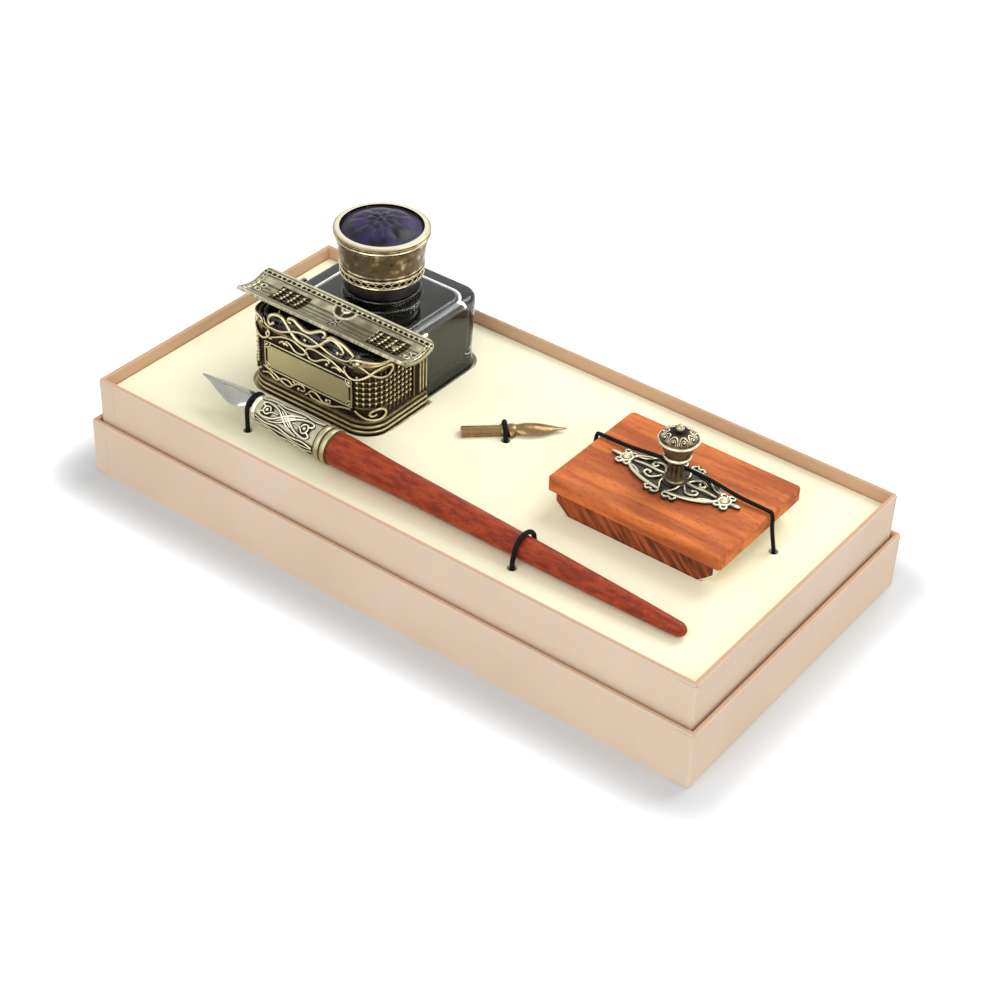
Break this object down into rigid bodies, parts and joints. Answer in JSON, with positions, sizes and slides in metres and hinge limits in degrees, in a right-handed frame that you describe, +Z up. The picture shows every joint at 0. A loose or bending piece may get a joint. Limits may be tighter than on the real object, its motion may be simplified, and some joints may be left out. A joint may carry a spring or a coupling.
{
  "type": "boxed dip pen writing set",
  "caption": "Calligraphy set in a nested tray box: capped ink bottle in a cast surround with pen rest, dip pen, spare nib and rocker blotter, tied to a card insert.",
  "frame": {"origin": "centre of the base tray's underside", "axes": "+X along the box and the pen, from the nib's point to the pen's tail; +Y across the box, from the pen to the bottle; +Z up"},
  "size_m": [0.2654, 0.1324, 0.0962],
  "materials": {
    "box_paper": "pinkish beige paper over board",
    "insert_card": "matt cream card",
    "clear_glass": "clear pressed glass",
    "black_ink": "black ink, drawn as a solid",
    "gilt_metal": "antique gilt casting with dark recesses",
    "plate_metal": "satin gilt",
    "silver_metal": "antique silver casting with dark recesses",
    "black_plastic": "gloss black",
    "seal_foam": "sealing disc",
    "violet_stone": "polished dark violet cabochon",
    "nib_steel": "polished steel",
    "collet_steel": "plain steel",
    "nib_bronze": "brown bronze",
    "handle_wood": "red-brown stained wood, satin",
    "blotter_wood": "red-brown stained wood, satin",
    "elastic": "black round elastic",
    "blotting_paper": "matt white",
    "bush_brass": "plain brass",
    "screw_steel": "plain steel"
  },
  "bodies": {
    "base_tray": {"base_tray": "box_paper"},
    "inner_tray": {"inner_tray": "box_paper"},
    "insert": {"insert_face": "insert_card", "insert_riser": "insert_card", "bottle_cradle": "insert_card", "pen_tie_front": "elastic", "pen_tie_rear": "elastic", "spare_nib_tie": "elastic", "blotter_tie": "elastic"},
    "bottle": {"bottle_glass": "clear_glass", "bottle_neck": "clear_glass", "bottle_boss": "clear_glass", "ink": "black_ink", "bottle_surround": "gilt_metal", "name_plate": "plate_metal", "pen_rest": "gilt_metal", "rest_posts": "gilt_metal", "rest_rivets": "gilt_metal"},
    "cap_seal": {"cap_seal": "seal_foam"},
    "cap": {"cap_liner": "black_plastic", "cap_shell": "gilt_metal", "cap_bezel": "silver_metal", "cap_cabochon": "violet_stone"},
    "pen": {"nib_collet": "collet_steel", "pen_grip": "silver_metal", "pen_collar": "silver_metal", "pen_handle": "handle_wood"},
    "pen_nib": {"pen_nib": "nib_steel"},
    "spare_nib": {"spare_nib": "nib_bronze"},
    "blotter": {"blotter_rocker": "blotter_wood", "blotting_paper": "blotting_paper", "rocker_insert": "bush_brass", "blotter_board": "blotter_wood", "blotter_fretplate": "gilt_metal", "fretplate_pins": "silver_metal"},
    "knob": {"blotter_knob": "gilt_metal", "knob_finial": "silver_metal", "knob_screw": "screw_steel"}
  },
  "joints": [
    {"name": "tray_lift", "type": "slide", "parent": "base_tray", "child": "inner_tray", "axis": [0, 0, 1], "range_m": [0, 0.03]},
    {"name": "insert_lift", "type": "slide", "parent": "inner_tray", "child": "insert", "axis": [0, 0, 1], "range_m": [0, 0.045]},
    {"name": "bottle_lift", "type": "slide", "parent": "insert", "child": "bottle", "axis": [0, 0, 1], "range_m": [0, 0.03]},
    {"name": "cap_lift", "type": "slide", "parent": "bottle", "child": "cap_seal", "axis": [0, 0, 1], "range_m": [0, 0.024]},
    {"name": "cap_twist", "type": "hinge", "parent": "cap_seal", "child": "cap", "pos_m": [-0.0638, 0.018, 0.082], "axis": [0, 0, 1], "continuous": true},
    {"name": "pen_lift", "type": "slide", "parent": "insert", "child": "pen", "axis": [0, 0, 1], "range_m": [0, 0.03], "deforming": ["pen_tie_front", "pen_tie_rear"]},
    {"name": "nib_pull", "type": "slide", "parent": "pen", "child": "pen_nib", "axis": [-0.9996, 0, 0.0285], "range_m": [0, 0.016]},
    {"name": "spare_nib_lift", "type": "slide", "parent": "insert", "child": "spare_nib", "axis": [0, 0, 1], "range_m": [0, 0.02], "deforming": ["spare_nib_tie"]},
    {"name": "blotter_lift", "type": "slide", "parent": "insert", "child": "blotter", "axis": [0, 0, 1], "range_m": [0, 0.03], "deforming": ["blotter_tie"]},
    {"name": "knob_twist", "type": "hinge", "parent": "blotter", "child": "knob", "pos_m": [0.0725, 0.0094, 0.06], "axis": [0, 0, 1], "continuous": true}
  ]
}
